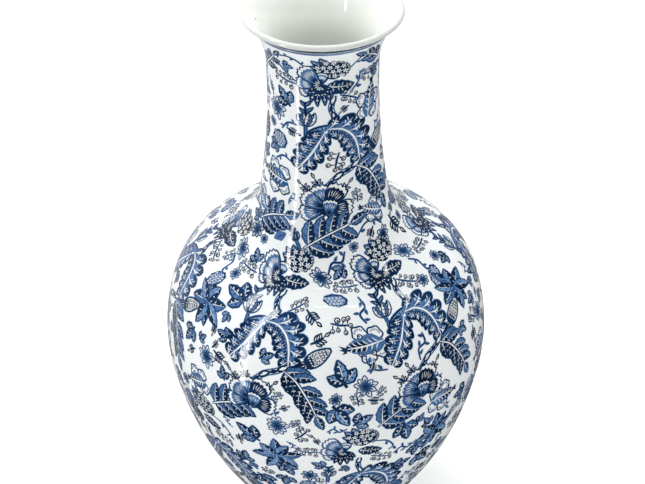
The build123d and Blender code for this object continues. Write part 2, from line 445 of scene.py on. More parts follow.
def petal(pen, length, width, hatch, tone=MID):
    """A petal that fans out along +x: dark ruffled outline, bare rim, blue throat with fine bare lines."""
    ruffles = 4
    t = np.linspace(0, 1, 13)
    half = width / 2 * (0.14 + 0.86 * np.sin(math.pi * 0.56 * t) ** 1.15)
    top = np.column_stack([length * t * 0.92, half])
    angle = np.linspace(1, -1, 4 * ruffles + 1)[1:-1]
    crown = length * (0.92 + 0.17 * np.sqrt(1 - angle**2) + 0.045 * np.cos(angle * ruffles * math.pi))
    rim = np.column_stack([crown, half[-1] * angle])
    outline = np.vstack([top, rim, (top * (1, -1))[::-1]])
    pen.fill(BARE, outline)
    pen.fill(tone, outline * (0.84, 0.90))
    pen.rim(outline, 0.62)
    for k in range(hatch):
        f = (k + 0.5) / hatch * 2 - 1
        end = np.array([length * (0.96 - 0.14 * abs(f)), f * width * 0.42])
        pen.stroke(BARE, end * (0.38 if k % 2 else 0.56), end * 0.96, 0.42, 0.03 * f)
        pen.stroke(DARK, end * 0.08, end * (0.62 if k % 2 else 0.48), 0.56)
        pen.stroke(tone, end * 0.84, end * 1.02, 0.34)


def fan_flower(pen, size=16.0):
    """An open flower from the side: petals fan to the left above dark drooping sepals."""
    for turn, length, width in ((78, 0.62, 0.5), (206, 0.92, 0.55), (176, 0.98, 0.62), (134, 1.12, 0.80)):
        petal(pen.at(0, 0, turn), size * length, size * width, hatch=8)
    for turn, length in ((226, 0.86), (318, 0.80), (300, 0.95), (244, 1.02), (282, 1.08), (263, 1.12)):
        bend = 26 if turn < 270 else -26
        blade(pen.at(0, 0, turn), size * length, size * 0.30, bend, 2, DARK, DARK, hatch=3, bite=0.1)
    for k in range(8):
        turn = 110 + 26 * k
        pen.at(0, 0, turn).stroke(BARE, (size * 0.06, 0), (size * 0.30, 0), 0.5)


def floret(pen, x, y, size, turn):
    """A bare five-petalled floret with a dark eye."""
    a = np.radians(turn) + np.linspace(0, 2 * math.pi, 20, endpoint=False)
    r = size * (0.68 + 0.32 * np.cos(5 * (a - math.radians(turn))))
    pen.shapes.append((BARE, pen.on_sheet(ring(x, y, r, a))))
    pen.dot(DARK, x, y, size * 0.22, 6)


def packed(wide, tall, low, high, inset, shift, across, up):
    """Spots in staggered rows that fill an ellipse, kept in from its bottom, top and sides."""
    row = 0
    y = low - tall / 2
    while y < tall / 2 - high:
        reach = wide / 2 * math.sqrt(max(0.0, 1 - (2 * y / tall) ** 2)) - inset
        x = row % 2 * shift - reach
        while x < reach:
            yield x, y
            x += across
        y += up
        row += 1


def floret_head(pen, wide, tall):
    """A dark head crowded with bare florets, blue leaves on its left and ringed buds on its right."""
    rng = random.Random(3)
    for turn, length in ((168, 0.66), (146, 0.70), (122, 0.62)):
        blade(pen.at(0, 0, turn), wide * length, tall * 0.44, -20, 3, DARK, MID, hatch=4)
    rim = []
    for k in range(13):
        a = 2 * math.pi * k / 13
        r = 1 + rng.uniform(-0.09, 0.09)
        rim.append((wide / 2 * r * math.cos(a), tall / 2 * r * math.sin(a)))
    pen.fill(DARK, smooth_loop(rim, 3))
    for k in range(9):
        a = math.radians(-44 + 16 * k)
        pen.berry((wide / 2 + 0.4) * math.cos(a), (tall / 2 + 0.4) * math.sin(a), 1.5)
    for x, y in packed(wide, tall, 2.3, 1.0, 1.6, 2.1, 4.7, 4.1):
        floret(pen, x + rng.uniform(-0.4, 0.4), y + rng.uniform(-0.3, 0.3), 2.35, rng.uniform(0, 72))


def peony(pen, size=18.0):
    """A large flower: five ruffled petals round one that faces the eye."""
    for turn, length, width, tone in (
        (108, 0.95, 0.78, MID), (198, 1.0, 0.66, MID), (-8, 1.02, 0.78, DARK), (58, 1.05, 0.86, DARK),
        (152, 0.98, 0.72, MID),
    ):
        petal(pen.at(0, 0, turn), size * length, size * width, hatch=6, tone=tone)
    for k in range(6):
        pen.at(0, -1, 200 + 28 * k).stroke(DARK, (0, 0), (size * 0.42, 0), 1.6)
    petal(pen.at(size * 0.10, -size * 0.36, 82), size * 0.66, size * 0.62, hatch=5)


def aster(pen, size=8.0, rays=9, seed=2):
    """A small flower of ragged rays about a dark heart."""
    rng = random.Random(seed)
    for k in range(rays):
        p = pen.at(0, 0, 360 * k / rays + rng.uniform(-7, 7))
        reach = size * rng.uniform(0.84, 1.12)
        left, right = (reach * 0.6, size * 0.23), (reach * 0.6, -size * 0.2)
        ray = smooth_loop([(size * 0.12, 0), left, (reach, size * 0.06), right], 3)
        p.fill(BARE, ray)
        p.rim(ray, 0.42)
        p.stroke(MID, (size * 0.1, 0), (reach * 0.80, 0), size * 0.20)
        p.stroke(DARK, (size * 0.1, 0), (reach * 0.55, 0), size * 0.09)
    pen.dot(DARK, 0, 0, size * 0.17)


def bell_bud(pen, size=11.0):
    """A half-open bud along +y on its stalk, cupped by two leaves."""
    for tone, width in ((DARK, 1.9), (MID, 0.9)):
        pen.line(tone, [(0, -size), (0.2, -size * 0.5), (0, 0)], width, ends=0.8)
    pen.line(DARK, smooth([(0, 0), (0.3, size * 0.7), (0, size * 1.5)]), 1.3, ends=0.7)
    for turn, length, bend, left, right in (
        (122, 0.85, -46, BARE, MID), (56, 1.05, 46, DARK, BARE),
        (98, 0.85, -46, MID, BARE), (76, 0.9, 46, BARE, MID),
    ):
        blade(pen.at(0, 0, turn), size * length, size * 0.42, bend, 2, left, right, hatch=3, bite=0.08)
    for height, turn, length in ((0.75, 140, 0.5), (0.85, 38, 0.6), (1.2, 130, 0.45), (1.25, 48, 0.5)):
        leaf = pen.at(0, size * height, turn)
        blade(leaf, size * length, size * 0.17, 20, 2, MID, DARK, hatch=0, bite=0.05)


def berry_spray(pen, length=17.0, bend=24.0, count=8, seed=5):
    """A thin stalk with ringed berries to both sides."""
    rng = random.Random(seed)
    stalk = arc_spine(length, bend, 8)
    pen.line(DARK, stalk, 0.55, ends=0.5)
    normal = sides_of(stalk)
    for k in range(count):
        i = min(8, 1 + k * 8 // count)
        side = 1 if k % 2 else -1
        away = stalk[i] + side * normal[i] * rng.uniform(2.6, 4.3) + (stalk[i] - stalk[i - 1]) * 0.6
        pen.stroke(DARK, stalk[i], away, 0.55)
        pen.berry(away[0], away[1], rng.uniform(1.4, 2.0), DARK if k % 3 else MID)
    pen.berry(stalk[-1][0] + 0.8, stalk[-1][1], 1.5)


def mulberry(pen, wide, tall):
    """A round cluster of curled fruitlets."""
    rng = random.Random(1)
    a = np.linspace(0, 2 * math.pi, 24, endpoint=False)
    ripple = 1 + 0.07 * np.cos(8 * a)
    outline = np.column_stack([wide / 2 * ripple * np.cos(a), tall / 2 * ripple * np.sin(a)])
    pen.fill(MID, outline)
    pen.rim(outline, 0.7)
    for x, y in packed(wide, tall, 1.6, 0.8, 1.1, 1.3, 2.7, 2.3):
        pen.dot(BARE, x, y, 1.08, 7)
        pen.dot(DARK if rng.random() < 0.7 else WASH, x + 0.2, y - 0.2, 0.62, 6)


def cone(pen, length=18.0, width=11.0):
    """A scaly pointed fruit along +x."""
    t = np.linspace(0, 1, 13)
    half = width / 2 * np.sin(math.pi * (0.12 + 0.84 * t) ** 0.85) ** 0.7
    side = np.column_stack([length * t, half])
    outline = np.vstack([side, (side * (1, -1))[::-1]])
    pen.fill(BARE, outline)
    pen.fill(DARK, outline * (0.30, 0.95))
    pen.rim(outline, 0.8)
    for k in range(1, 8):
        x = length * (0.06 + 0.115 * k)
        reach = float(np.interp(x / length, t, half)) - 0.9
        scales = 4 if k % 2 else 3
        for m in range(scales):
            y = ((m + 0.5) / scales * 2 - 1) * reach
            pen.dot(DARK, x, y, 1.25, 7)
            pen.dot(BARE, x + 0.25, y, 0.62 if k < 3 else 0.80, 6)
    for turn in (135, 180, 225):
        oval_leaf(pen.at(0.6, 0, turn), width * 0.5)


# ---- stems and sprigs -----------------------------------------------------------------------


def twig(pen, points, width=3.4):
    """A twisted stem: two dark strands wound round each other with bare gaps."""
    path = smooth(points, 6)
    length = runs_of(path)[-1]
    line = evenly(path, max(8, int(length / 0.9)))
    at = np.linspace(0, length, len(line))
    apart = sides_of(line) * (np.sin(at / width * 1.5)[:, None] * width * 0.34 + width * 0.16)
    pen.line(MID, line, width * 0.9, ends=0.8)
    pen.line(BARE, line, width * 0.50, ends=0.6)
    for strand in (line + apart, line - apart):
        pen.line(DARK, strand, width * 0.24, ends=0.7)
    for k in range(2, len(line) - 1, 5):
        pen.along(line, k, 60 if k % 2 else -60).stroke(DARK, (0, 0), (width * 0.85, 0), 0.9)


def sprig(pen, length, pairs, leaf, bend=20.0):
    """A stalk of paired oval leaves."""
    stalk = arc_spine(length, bend, 10)
    pen.line(DARK, stalk, 0.75, ends=0.6)
    for k in range(pairs):
        i = 3 + int(k / pairs * 7)
        for side in (1, -1):
            oval_leaf(pen.along(stalk, i, side * 50), leaf * (1 - 0.06 * k))
    oval_leaf(pen.along(stalk, 10), leaf)


def tendril(pen, points, leaves, leaf):
    """A thin wandering stalk with a few single leaves."""
    path = smooth(points, 5)
    pen.line(DARK, path, 0.62, ends=0.6)
    for k in range(leaves):
        i = int((k + 0.8) / (leaves + 0.3) * (len(path) - 1))
        oval_leaf(pen.along(path, i, 52 if k % 2 else -52), leaf, MID)


# ---- the repeat of the print ----------------------------------------------------------------


# How often the print is laid round the pot, and the turn in degrees and run where each row starts
NECK_REPEATS, NECK_RUN = 2, 42
BODY_REPEATS = 6
SHOULDER_TURN, SHOULDER_RUN = -27, 200
BELLY_TURN, BELLY_RUN = 10, 341


def leaf_pair(pen):
    """Two curled leaves hanging from one stem, under a folded light one."""
    fold = smooth([(-14, -11), (-11, -5), (-5, -1), (2, 1), (6, 0)], 4)
    inner = smooth([(6, 0), (1, -4), (-4, -6), (-9, -9), (-14, -11)], 4)
    pen.fill(WASH, np.vstack([fold, inner]))
    pen.line(DARK, fold, 0.9, ends=0.6)
    for k in range(1, 8):
        pen.stroke(DARK, fold[2 * k], inner[-2 * k - 1], 0.6, 0.1)
    acanthus(pen, [(1, -5), (-4, -14), (-10, -24), (-20, -37)], 9.5, 11.5, 5)
    acanthus(pen, [(3, -2), (13, -3), (21.5, -10), (26, -20), (28, -33)], 13.5, 11, 6)


def stem_group(pen, head=(6, 14), head_size=(25, 16)):
    """The upper half of the repeat: flower, floret head, bud, stem and the pair of leaves."""
    twig(pen, [(8, -8), (5.5, -18), (8, -26), (6.5, -34)])
    bell_bud(pen.at(-13, -33), 13)
    floret_head(pen.at(*head), *head_size)
    blade(pen.at(3, 0, -3), 20, 11.5, 24, 4, DARK, DARK, hatch=6)
    fan_flower(pen.at(-2, 1))
    leaf_pair(pen.at(0, -33))
    twig(pen, [(28, -65), (20, -70), (11, -74), (2, -82)], 3.8)


def flower_group(pen):
    """The lower half of the repeat: hanging feather leaf, sprigs and peony."""
    pen.line(DARK, smooth([(27, -66), (34, -64), (41, -61)]), 1.2)
    feather_leaf(pen, [(25, -69), (36, -77), (47, -93), (53, -106)])
    sprig(pen.at(-1, -90, 112), 15, 3, 6.0, 14)
    sprig(pen.at(-7, -92, 134), 14, 3, 5.6, 14)
    sprig(pen.at(7, -92, 40), 15, 3, 6.0, 16)
    peony(pen.at(1, -100), 18.5)


def foot_leaf(pen):
    """The broad feather leaf that closes a repeat at its lower left."""
    feather_leaf(pen, [(-36, -122), (-24, -114), (-12, -108), (0, -104)], 4, 20, 10.5, 52, lower=(MID, DARK))


def neck_repeat(pen):
    """One repeat of the print on the neck, drawn about the flower nearest the mouth."""
    tendril(pen, [(-20, 2), (-30, 9), (-37, 16)], 2, 4.4)
    tendril(pen, [(-12, 15), (-19, 22), (-28, 24), (-38, 20)], 4, 4.0)
    tendril(pen, [(20, 14), (27, 20), (34, 26)], 2, 4.6)
    feather_leaf(pen, [(50, 10), (42, 17), (33, 22)], 2, 14, 6.5, 34)
    feather_leaf(pen, [(-52, 4), (-44, 12), (-38, 20)], 2, 12, 5.5, 40)
    tendril(pen, [(21, -6), (27, 0), (28, 8)], 3, 6.0)
    stem_group(pen)
    berry_spray(pen.at(-20, 0, 172), 17, -26, 9)
    berry_spray(pen.at(12, -8, -24), 17, -20, 9, seed=8)
    eyed_leaf(pen.at(36, -34, 80), 31, 24)
    aster(pen.at(-38, -26), 8.5, 9)
    sprig(pen.at(-42, -18, 112), 12, 3, 3.6)
    tendril(pen, [(-18, -34), (-27, -34), (-33, -41)], 3, 4.2)
    mulberry(pen.at(-36, -51), 14, 13)
    cone(pen.at(41, -61, 38), 20, 12)
    blade(pen.at(-58, -60, 78), 24, 11, 10, 5, DARK, DARK)
    blade(pen.at(60, -40, 84), 22, 10, 10, 5, DARK, MID)
    eyed_leaf(pen.at(-28, -84, 176), 30, 25)
    tendril(pen, [(-24, -66), (-32, -63), (-40, -68)], 2, 4.2)
    flower_group(pen)
    foot_leaf(pen.at(20, -11))
    foot_leaf(pen.at(-31, -23, 0, 0.85))
    bell_bud(pen.at(-22, -128, 24), 7)
    oval_leaf(pen.at(-42, -133, 34), 14, MID)
    tendril(pen, [(24, -128), (32, -119), (42, -120), (50, -126)], 4, 5.4)
    aster(pen.at(50, -134), 7, 8, 4)


def shoulder_repeat(pen, starred):
    """One repeat of the print round the shoulder; every other one has a star leaf."""
    if starred:
        star_leaf(pen.at(-54, -44), 21)
        oval_leaf(pen.at(-17, -58, 150), 13)
        berry_spray(pen.at(16, -25, 40), 14, 14, 8, seed=4)
        tendril(pen, [(14, -33), (22, -27), (27, -31), (27, -36)], 2, 6.0)
        eyed_leaf(pen.at(-30, 42, 150), 24, 19)
        eyed_leaf(pen.at(-42, -106, 200), 26, 23)
        aster(pen.at(23, -119), 9, 10)
    else:
        eyed_leaf(pen.at(-20, -49, 184), 34, 26)
        tendril(pen, [(-24, -72), (-33, -70), (-38, -63), (-37, -56)], 4, 6.0)
        berry_spray(pen.at(10, -10, -34), 19, 16, 10, seed=6)
        mulberry(pen.at(46, -27), 12, 15)
        tendril(pen, [(30, -3), (38, -9), (41, -18), (46, -21)], 3, 4.6)
        mulberry(pen.at(-42, -14), 16, 9)
        eyed_leaf(pen.at(10, -117, -6), 30, 25)
    aster(pen.at(-44, 4), 7.5, 9)
    berry_spray(pen.at(-20, -4, 178), 16, -18, 10)
    cone(pen.at(41, -62, 36), 19, 12)
    aster(pen.at(-43, -82), 8.8, 9)
    sprig(pen.at(-38, -72, 56), 9, 3, 3.5)
    tendril(pen, [(22, -110), (20, -101), (18, -92)], 4, 5.2)
    foot_leaf(pen)
    stem_group(pen, (9, 15), (21, 17))
    flower_group(pen)


def belly_repeat(pen):
    """One repeat of the print below the belly, drawn a little smaller."""
    star_leaf(pen.at(-62, -14), 21)
    tendril(pen, [(14, 4), (24, 1), (30, -8), (26, -12)], 2, 6.0)
    berry_spray(pen.at(-28, -4, 178), 17, -18, 10)
    bell_bud(pen.at(-21, -38), 10)
    twig(pen, [(3, -14), (2, -24), (5, -34)])
    floret_head(pen.at(4, 10), 24, 17)
    blade(pen.at(2, -4, -12), 19, 10.5, 24, 4, DARK, DARK, hatch=6)
    fan_flower(pen.at(-10, -4))
    berry_spray(pen.at(12, -14, -26), 17, 14, 9)
    leaf_pair(pen.at(2, -36))
    twig(pen, [(30, -68), (20, -74), (8, -84)], 3.6)
    mulberry(pen.at(-36, -52), 12, 11)
    feather_leaf(pen, [(27, -70), (34, -80), (38, -94)], 4, 16, 8)
    peony(pen.at(0, -100), 16)
    sprig(pen.at(-4, -90, 128), 13, 3, 5)
    eyed_leaf(pen.at(-20, -80, 176), 20, 17)
    feather_leaf(pen, [(-22, -126), (-12, -119), (0, -113)], 4, 16, 8.5, 50)
    aster(pen.at(20, -120), 7, 9)
    tendril(pen, [(-30, -112), (-22, -106), (-16, -112)], 3, 4.6)
    floret_head(pen.at(0, -142), 20, 13)
    berry_spray(pen.at(16, -138, -10), 14, 10, 7)


def neck_print(place):
    """The print on the neck: evenly spaced repeats below the lines at the mouth."""
    for k in range(NECK_REPEATS):
        neck_repeat(place(360 / NECK_REPEATS * k, NECK_RUN))


def body_print(place):
    """The print on the body: a row round the shoulder and one below the belly, set between it."""
    pitch = 360 / BODY_REPEATS
    for k in range(BODY_REPEATS):
        shoulder_repeat(place(SHOULDER_TURN + pitch * k, SHOULDER_RUN), k % 2 == 0)
        belly_repeat(place(BELLY_TURN + pitch * k, BELLY_RUN))


class Plot:
    """Shapes drawn on sheets laid round the pot, gathered on one plan: arc length against run."""

    def __init__(self):
        self.sheets = []

    def place(self, turn, s):
        """A pen on a new sheet whose origin lies at this turn in degrees and this run."""
        shapes = []
        self.sheets.append(((turn + 180) % 360 - 180, s, shapes))
        return Pen(shapes)

    def on_plan(self, sheet):
        """The shapes of one sheet as (tone, points on the plan)."""
        turn, s, shapes = sheet
        for tone, points in shapes:
            run = s - points[:, 1]
            arc = math.radians(turn) * radius_at(run) + points[:, 0]
            yield tone, np.column_stack([arc, -run])

    def drawn(self):
        """Every shape on the plan, in drawing order, the ink that bled into the glaze first."""
        shapes = [shape for sheet in self.sheets for shape in self.on_plan(sheet)]
        return sorted(shapes, key=lambda shape: shape[0] != BLEED)


# Fillers are put in gaps of each radius in turn, each round with its own random seed
GAP_ROUNDS = ((10.0, 5), (7.5, 6), (5.5, 7), (4.2, 8))
GAP_CELL = 2.0
GAP_TRIES = 6000
FILLER_RADIUS = 5.9  # of a filler at scale 1


def fill_gaps(plot, low, high, clear, seed):
    """Put small sprigs, flowers and berries wherever the repeat leaves a gap of this radius."""
    rng = random.Random(seed)
    taken = set()

    def take(shapes):
        for _, points in shapes:
            for x, y in points:
                taken.add((round(x / GAP_CELL), round(y / GAP_CELL)))

    take(plot.drawn())
    reach = int(clear / GAP_CELL)
    span = range(-reach, reach + 1)
    disc = [(a, b) for a in span for b in span if a * a + b * b <= reach * reach]
    for _ in range(GAP_TRIES):
        s, turn = rng.uniform(low, high), rng.uniform(-180, 180)
        i = round(math.radians(turn) * float(radius_at(s)) / GAP_CELL)
        j = round(-s / GAP_CELL)
        if any((i + a, j + b) in taken for a, b in disc):
            continue
        pen = plot.place(turn, s).at(0, 0, rng.uniform(0, 360), clear / FILLER_RADIUS)
        kind = rng.randrange(6)
        if kind == 0:
            sprig(pen.at(-7, 0), 9, 3, 5.2)
        elif kind > 3:
            trefoil(pen.at(-6, 0), 11, (MID, DARK) if kind == 4 else (DARK, WASH))
        elif kind == 1:
            tendril(pen, [(-8, -2), (-2, 2), (3, -1), (8, 3)], 4, 4.4)
        elif kind == 2:
            aster(pen, 5.5, 8, rng.randrange(99))
        else:
            berry_spray(pen.at(-7, 0), 11, 20, 6, rng.randrange(99))
        take(plot.on_plan(plot.sheets[-1]))


# ---- meshes ---------------------------------------------------------------------------------

SHARP_ANGLE = math.radians(50)
AROUND = 256  # sections in a full turn


def finish_piece(obj, material, slot, *stands_for):
    """Material and body of a piece, and the nodes it stands for hidden."""
    obj.data.materials.append(material)
    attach(obj, "root")
    if stands_for:
        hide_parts(*stands_for)
    return obj


def mesh_object(name, points_mm, faces, normals=None):
    """A smooth-shaded mesh object from points in millimetres."""
    mesh = bpy.data.meshes.new(name)
    mesh.from_pydata((np.asarray(points_mm) * MM).tolist(), [], faces)
    mesh.validate()
    mesh.shade_smooth()
    if normals is None:
        mesh.set_sharp_from_angle(angle=SHARP_ANGLE)
    else:
        mesh.normals_split_custom_set_from_vertices(normals.tolist())
    obj = bpy.data.objects.new(name, mesh)
    bpy.context.scene.collection.objects.link(obj)
    return obj


def upright(section, theta):
    """The (r, z) points of a section, stood up at angle theta."""
    return np.column_stack([section[:, 0] * math.sin(theta), -section[:, 0] * math.cos(theta), section[:, 1]])


def turned(name, loop, backwards=False):
    """A closed ring of the given section: loop(theta) gives its (n, 3) points at each turn."""
    rings = [loop(2 * math.pi * k / AROUND) for k in range(AROUND)]
    n = len(rings[0])
    faces = []
    for k in range(AROUND):
        here, there = k * n, (k + 1) % AROUND * n
        faces += [(here + i, here + (i + 1) % n, there + (i + 1) % n, there + i) for i in range(n)]
    if backwards:
        faces = [face[::-1] for face in faces]
    return mesh_object(name, np.vstack(rings), faces)


# ---- cutting the print ----------------------------------------------------------------------

INK_LIFT = 0.10
CUT_TOLERANCE = 1e-5
STRAIGHT = 0.03  # a point this close to the line between its neighbours is dropped
# The grid in the ink is finer where the pot is slim; it widens from one radius on, over a range of radii
FINE_GRID, COARSE_GRID = 3.0, 4.5
SLIM_RADIUS, SLIM_RANGE = 45, 40


def covers(outline, spots):
    """Which spots lie inside the outline, counting windings, so that an overlapping stroke stays solid."""
    turns = np.zeros(len(spots), int)
    x, y = spots[:, 0], spots[:, 1]
    for (ax, ay), (bx, by) in zip(outline, np.roll(outline, -1, axis=0)):
        left = (bx - ax) * (y - ay) - (x - ax) * (by - ay)
        turns += (ay <= y) & (by > y) & (left > 0)
        turns -= (ay > y) & (by <= y) & (left < 0)
    return turns != 0


class Finder:
    """Looks up which spots fall in a box, by a grid."""

    def __init__(self, spots, cell=6.0):
        self.spots, self.cell = spots, cell
        keys = np.floor(spots / cell).astype(int)
        self.low = keys.min(axis=0)
        keys -= self.low
        self.wide = keys[:, 1].max() + 1
        flat = keys[:, 0] * self.wide + keys[:, 1]
        self.order = np.argsort(flat, kind="stable")
        self.flat = flat[self.order]

    def within(self, outline):
        """Indices of spots near the outline's box."""
        low, high = outline.min(axis=0), outline.max(axis=0)
        a, b = np.floor(np.array([low, high]) / self.cell).astype(int) - self.low
        runs = []
        for column in range(a[0], b[0] + 1):
            start = np.searchsorted(self.flat, column * self.wide + max(a[1], 0))
            stop = np.searchsorted(self.flat, column * self.wide + min(b[1], self.wide - 1), side="right")
            runs.append(self.order[start:stop])
        near = np.concatenate(runs)
        spots = self.spots[near]
        return near[((spots >= low) & (spots <= high)).all(axis=1)]


def cut(points, edges):
    """Triangles between the points that keep to the edges, as (corner places, indices of corners)."""
    points = [Vector(point) for point in points]
    verts, _, tris, *_ = delaunay_2d_cdt(points, edges, [], 0, CUT_TOLERANCE, False)
    return np.array([(v.x, v.y) for v in verts]), np.array(tris)


def paint(plan, corners, shapes):
    """The index in TONES of each triangle: that of the last shape that covers it."""
    middle = plan[corners].mean(axis=1)
    painted = np.zeros(len(corners), int)
    finder = Finder(middle)
    for tone, outline in shapes:
        near = finder.within(outline)
        ink = WASH if tone == BLEED else tone
        painted[near[covers(outline, middle[near])]] = TONES.index(ink)
    return painted


def ink_edges(corners, painted):
    """The edges between triangles of different ink."""
    sides = np.sort(np.vstack([corners[:, [0, 1]], corners[:, [1, 2]], corners[:, [2, 0]]]), axis=1)
    ink = np.tile(painted, 3)
    order = np.lexsort((sides[:, 1], sides[:, 0]))
    sides, ink = sides[order], ink[order]
    paired = (sides[1:] == sides[:-1]).all(axis=1)
    return sides[1:][paired & (ink[1:] != ink[:-1])]


def straightened(plan, edges):
    """The edges without the points that lie on a straight run between two others."""
    edges = [tuple(edge) for edge in edges.tolist()]
    joined = {}
    for a, b in edges:
        joined.setdefault(a, set()).add(b)
        joined.setdefault(b, set()).add(a)
    for here in list(joined):
        if len(joined[here]) != 2:
            continue
        a, b = joined[here]
        along, away = plan[b] - plan[a], plan[here] - plan[a]
        size = np.hypot(*along)
        if b in joined[a] or size < TINY or abs(along[0] * away[1] - along[1] * away[0]) / size > STRAIGHT:
            continue
        for end, other in ((a, b), (b, a)):
            joined[end].discard(here)
            joined[end].add(other)
        del joined[here]
    return [(a, b) for a, ends in joined.items() for b in ends if a < b]


def with_seam_copies(shapes):
    """The shapes, with each one over the seam at the back drawn again on the plan's other edge."""
    for tone, outline in shapes:
        yield tone, outline
        half_turn = math.pi * radius_at(-outline[:, 1])
        for side in (1, -1):
            if (side * outline[:, 0] > half_turn).any():
                yield tone, outline - np.column_stack([2 * side * half_turn, 0 * half_turn])


def plan_sheet(top, end):
    """The plan's border, and a grid of points that lets the films follow the pot."""
    grid, seam = [], []
    s = top
    while s < end:
        r = float(radius_at(s))
        seam.append((math.pi * r, -s))
        step = FINE_GRID + (COARSE_GRID - FINE_GRID) * min(1.0, max(0.0, (r - SLIM_RADIUS) / SLIM_RANGE))
        grid.extend((float(x), -s) for x in np.arange(-math.pi * r, math.pi * r, step))
        s += step
    seam.append((math.pi * float(radius_at(end)), -end))
    return seam + [(-x, y) for x, y in reversed(seam)], grid


def ink_plan(plot, top, end):
    """Cut the plan where the ink changes: its points, and the triangles of each tone."""
    shapes = list(with_seam_copies(plot.drawn()))
    border, grid = plan_sheet(top, end)
    points, edges = [], []
    for outline in [border] + [outline for _, outline in shapes]:
        start = len(points)
        points.extend((float(x), float(y)) for x, y in outline)
        edges.extend((k, k + 1) for k in range(start, len(points) - 1))
        edges.append((len(points) - 1, start))
    plan, corners = cut(points, edges)
    # Most of those edges are hidden under later shapes, so the plan is cut again along the others.
    changes = straightened(plan, ink_edges(corners, paint(plan, corners, shapes)))
    used, order = np.unique(np.array(changes), return_inverse=True)
    first = len(border)
    edges = [(k, (k + 1) % first) for k in range(first)] + (order.reshape(-1, 2) + first).tolist()
    plan, corners = cut(border + plan[used].tolist() + grid, edges)
    painted = paint(plan, corners, shapes)
    middle = plan[corners].mean(axis=1)
    inside = np.abs(middle[:, 0]) <= math.pi * radius_at(-middle[:, 1])
    inside &= (-middle[:, 1] > top) & (-middle[:, 1] < end)
    return plan, {tone: corners[inside & (painted == k)] for k, tone in enumerate(TONES) if tone != BARE}


def ink_film(name, plan, tris):
    """The film of one tone of ink, lying on the glaze."""
    used, order = np.unique(np.array(tris), return_inverse=True)
    faces = order.reshape(-1, 3)
    run = -plan[used, 1]
    theta = plan[used, 0] / radius_at(run)
    points = surface(theta, run, INK_LIFT)
    return mesh_object(name, points, faces.tolist(), surface_normals(theta, run))


# ---- materials ------------------------------------------------------------------------------

# Display colours, 0..255
WHITE_LOW, WHITE_HIGH = (234, 238, 238), (243, 247, 248)
# A greyer white that the glaze is coloured with over the lip
WHITE_OVER_LIP = (214, 217, 213)
INSIDE_LOW, INSIDE_HIGH = (229, 232, 227), (237, 240, 235)
IRON = (84, 74, 62)
LINE_THIN, LINE_FULL = (30, 58, 74), (14, 36, 50)
FINE_THIN, FINE_FULL = (110, 136, 170), (70, 98, 140)
CLAY_LOW, CLAY_HIGH = (222, 214, 200), (236, 230, 218)
SLIP_LOW, SLIP_HIGH = (206, 198, 184), (222, 214, 202)
# Each tone of ink where it lies thin and where it pools
INK = {
    DARK: ((24, 56, 92), (6, 28, 56)),
    MID: ((96, 132, 178), (54, 92, 140)),
    WASH: ((126, 160, 202), (84, 124, 174)),
}
# The white glaze turns to the greyer white over the lip between these two heights
LIP_GREYING_HEIGHTS = (0.4735, 0.4755)  # heights in metres
FLOOR_GLOW = 0.22
BLACK, WHITE = (0.0, 0.0, 0.0), (1.0, 1.0, 1.0)


def linear(colour):
    """Scene-linear colour from 0..255 display values."""
    shares = [value / 255 for value in colour]
    return tuple(c / 12.92 if c <= 0.04045 else ((c + 0.055) / 1.055) ** 2.4 for c in shares)


class Tree:
    """A node tree, built step by step."""

    def __init__(self, owner):
        owner.use_nodes = True
        self.nodes = owner.node_tree.nodes
        self.links = owner.node_tree.links

    def fill(self, node, inputs):
        """Put numbers, colours or other nodes' outputs into a node's inputs."""
        for name, given in inputs.items():
            socket = node.inputs[name]
            if isinstance(given, bpy.types.NodeSocket):
                self.links.new(given, socket)
            elif socket.type == "RGBA":
                socket.default_value = (*given, 1.0)
            else:
                socket.default_value = given

    def add(self, kind, output, **inputs):
        """An output of a new node; an underscore in an input's name stands for a space."""
        node = self.nodes.new(f"ShaderNode{kind}")
        self.fill(node, {name.replace("_", " "): given for name, given in inputs.items()})
        return node.outputs[output]

    def ramp(self, value, *stops):
        """Colour ramp of (position, colour) stops."""
        colours = self.add("ValToRGB", "Color", Fac=value)
        elements = colours.node.color_ramp.elements
        while len(elements) < len(stops):
            elements.new(0.5)
        for element, (position, colour) in zip(elements, stops):
            element.position = position
            element.color = (*colour, 1.0)
        return colours

    def mix(self, amount, first, second, kind="MIX"):
        """Blend two colours; amount is a number or a socket."""
        node = self.nodes.new("ShaderNodeMix")
        node.data_type = "RGBA"
        node.blend_type = kind
        self.fill(node, {0: amount, 6: first, 7: second})
        return node.outputs[2]


class Recipe(Tree):
    """A material's node tree round its main shader."""

    def __init__(self, name):
        self.material = bpy.data.materials.new(name)
        super().__init__(self.material)
        self.shader = self.nodes["Principled BSDF"]
        self.place = self.add("TexCoord", "Object")

    def noise(self, scale, detail=3.0, roughness=0.5):
        return self.add("TexNoise", "Fac", Vector=self.place, Scale=scale, Detail=detail, Roughness=roughness)

    def spots(self, scale):
        return self.add("TexVoronoi", "Distance", Vector=self.place, Scale=scale)

    def clouds(self, noise, low, high, start=0.30, stop=0.72):
        """One display colour drifting into another over a range of the noise."""
        return self.ramp(noise, (start, linear(low)), (stop, linear(high)))

    def span(self, value, low, high):
        """Map 0..1 to low..high."""
        return self.add("MapRange", "Result", Value=value, To_Min=low, To_Max=high)

    def above(self, low, high):
        """0 below one height in metres, 1 above another."""
        height = self.add("SeparateXYZ", "Z", Vector=self.place)
        return self.add("MapRange", "Result", Value=height, From_Min=low, From_Max=high)

    def bump(self, height, strength, distance):
        self.set("Normal", self.add("Bump", "Normal", Height=height, Strength=strength, Distance=distance))

    def set(self, name, given):
        self.fill(self.shader, {name: given})


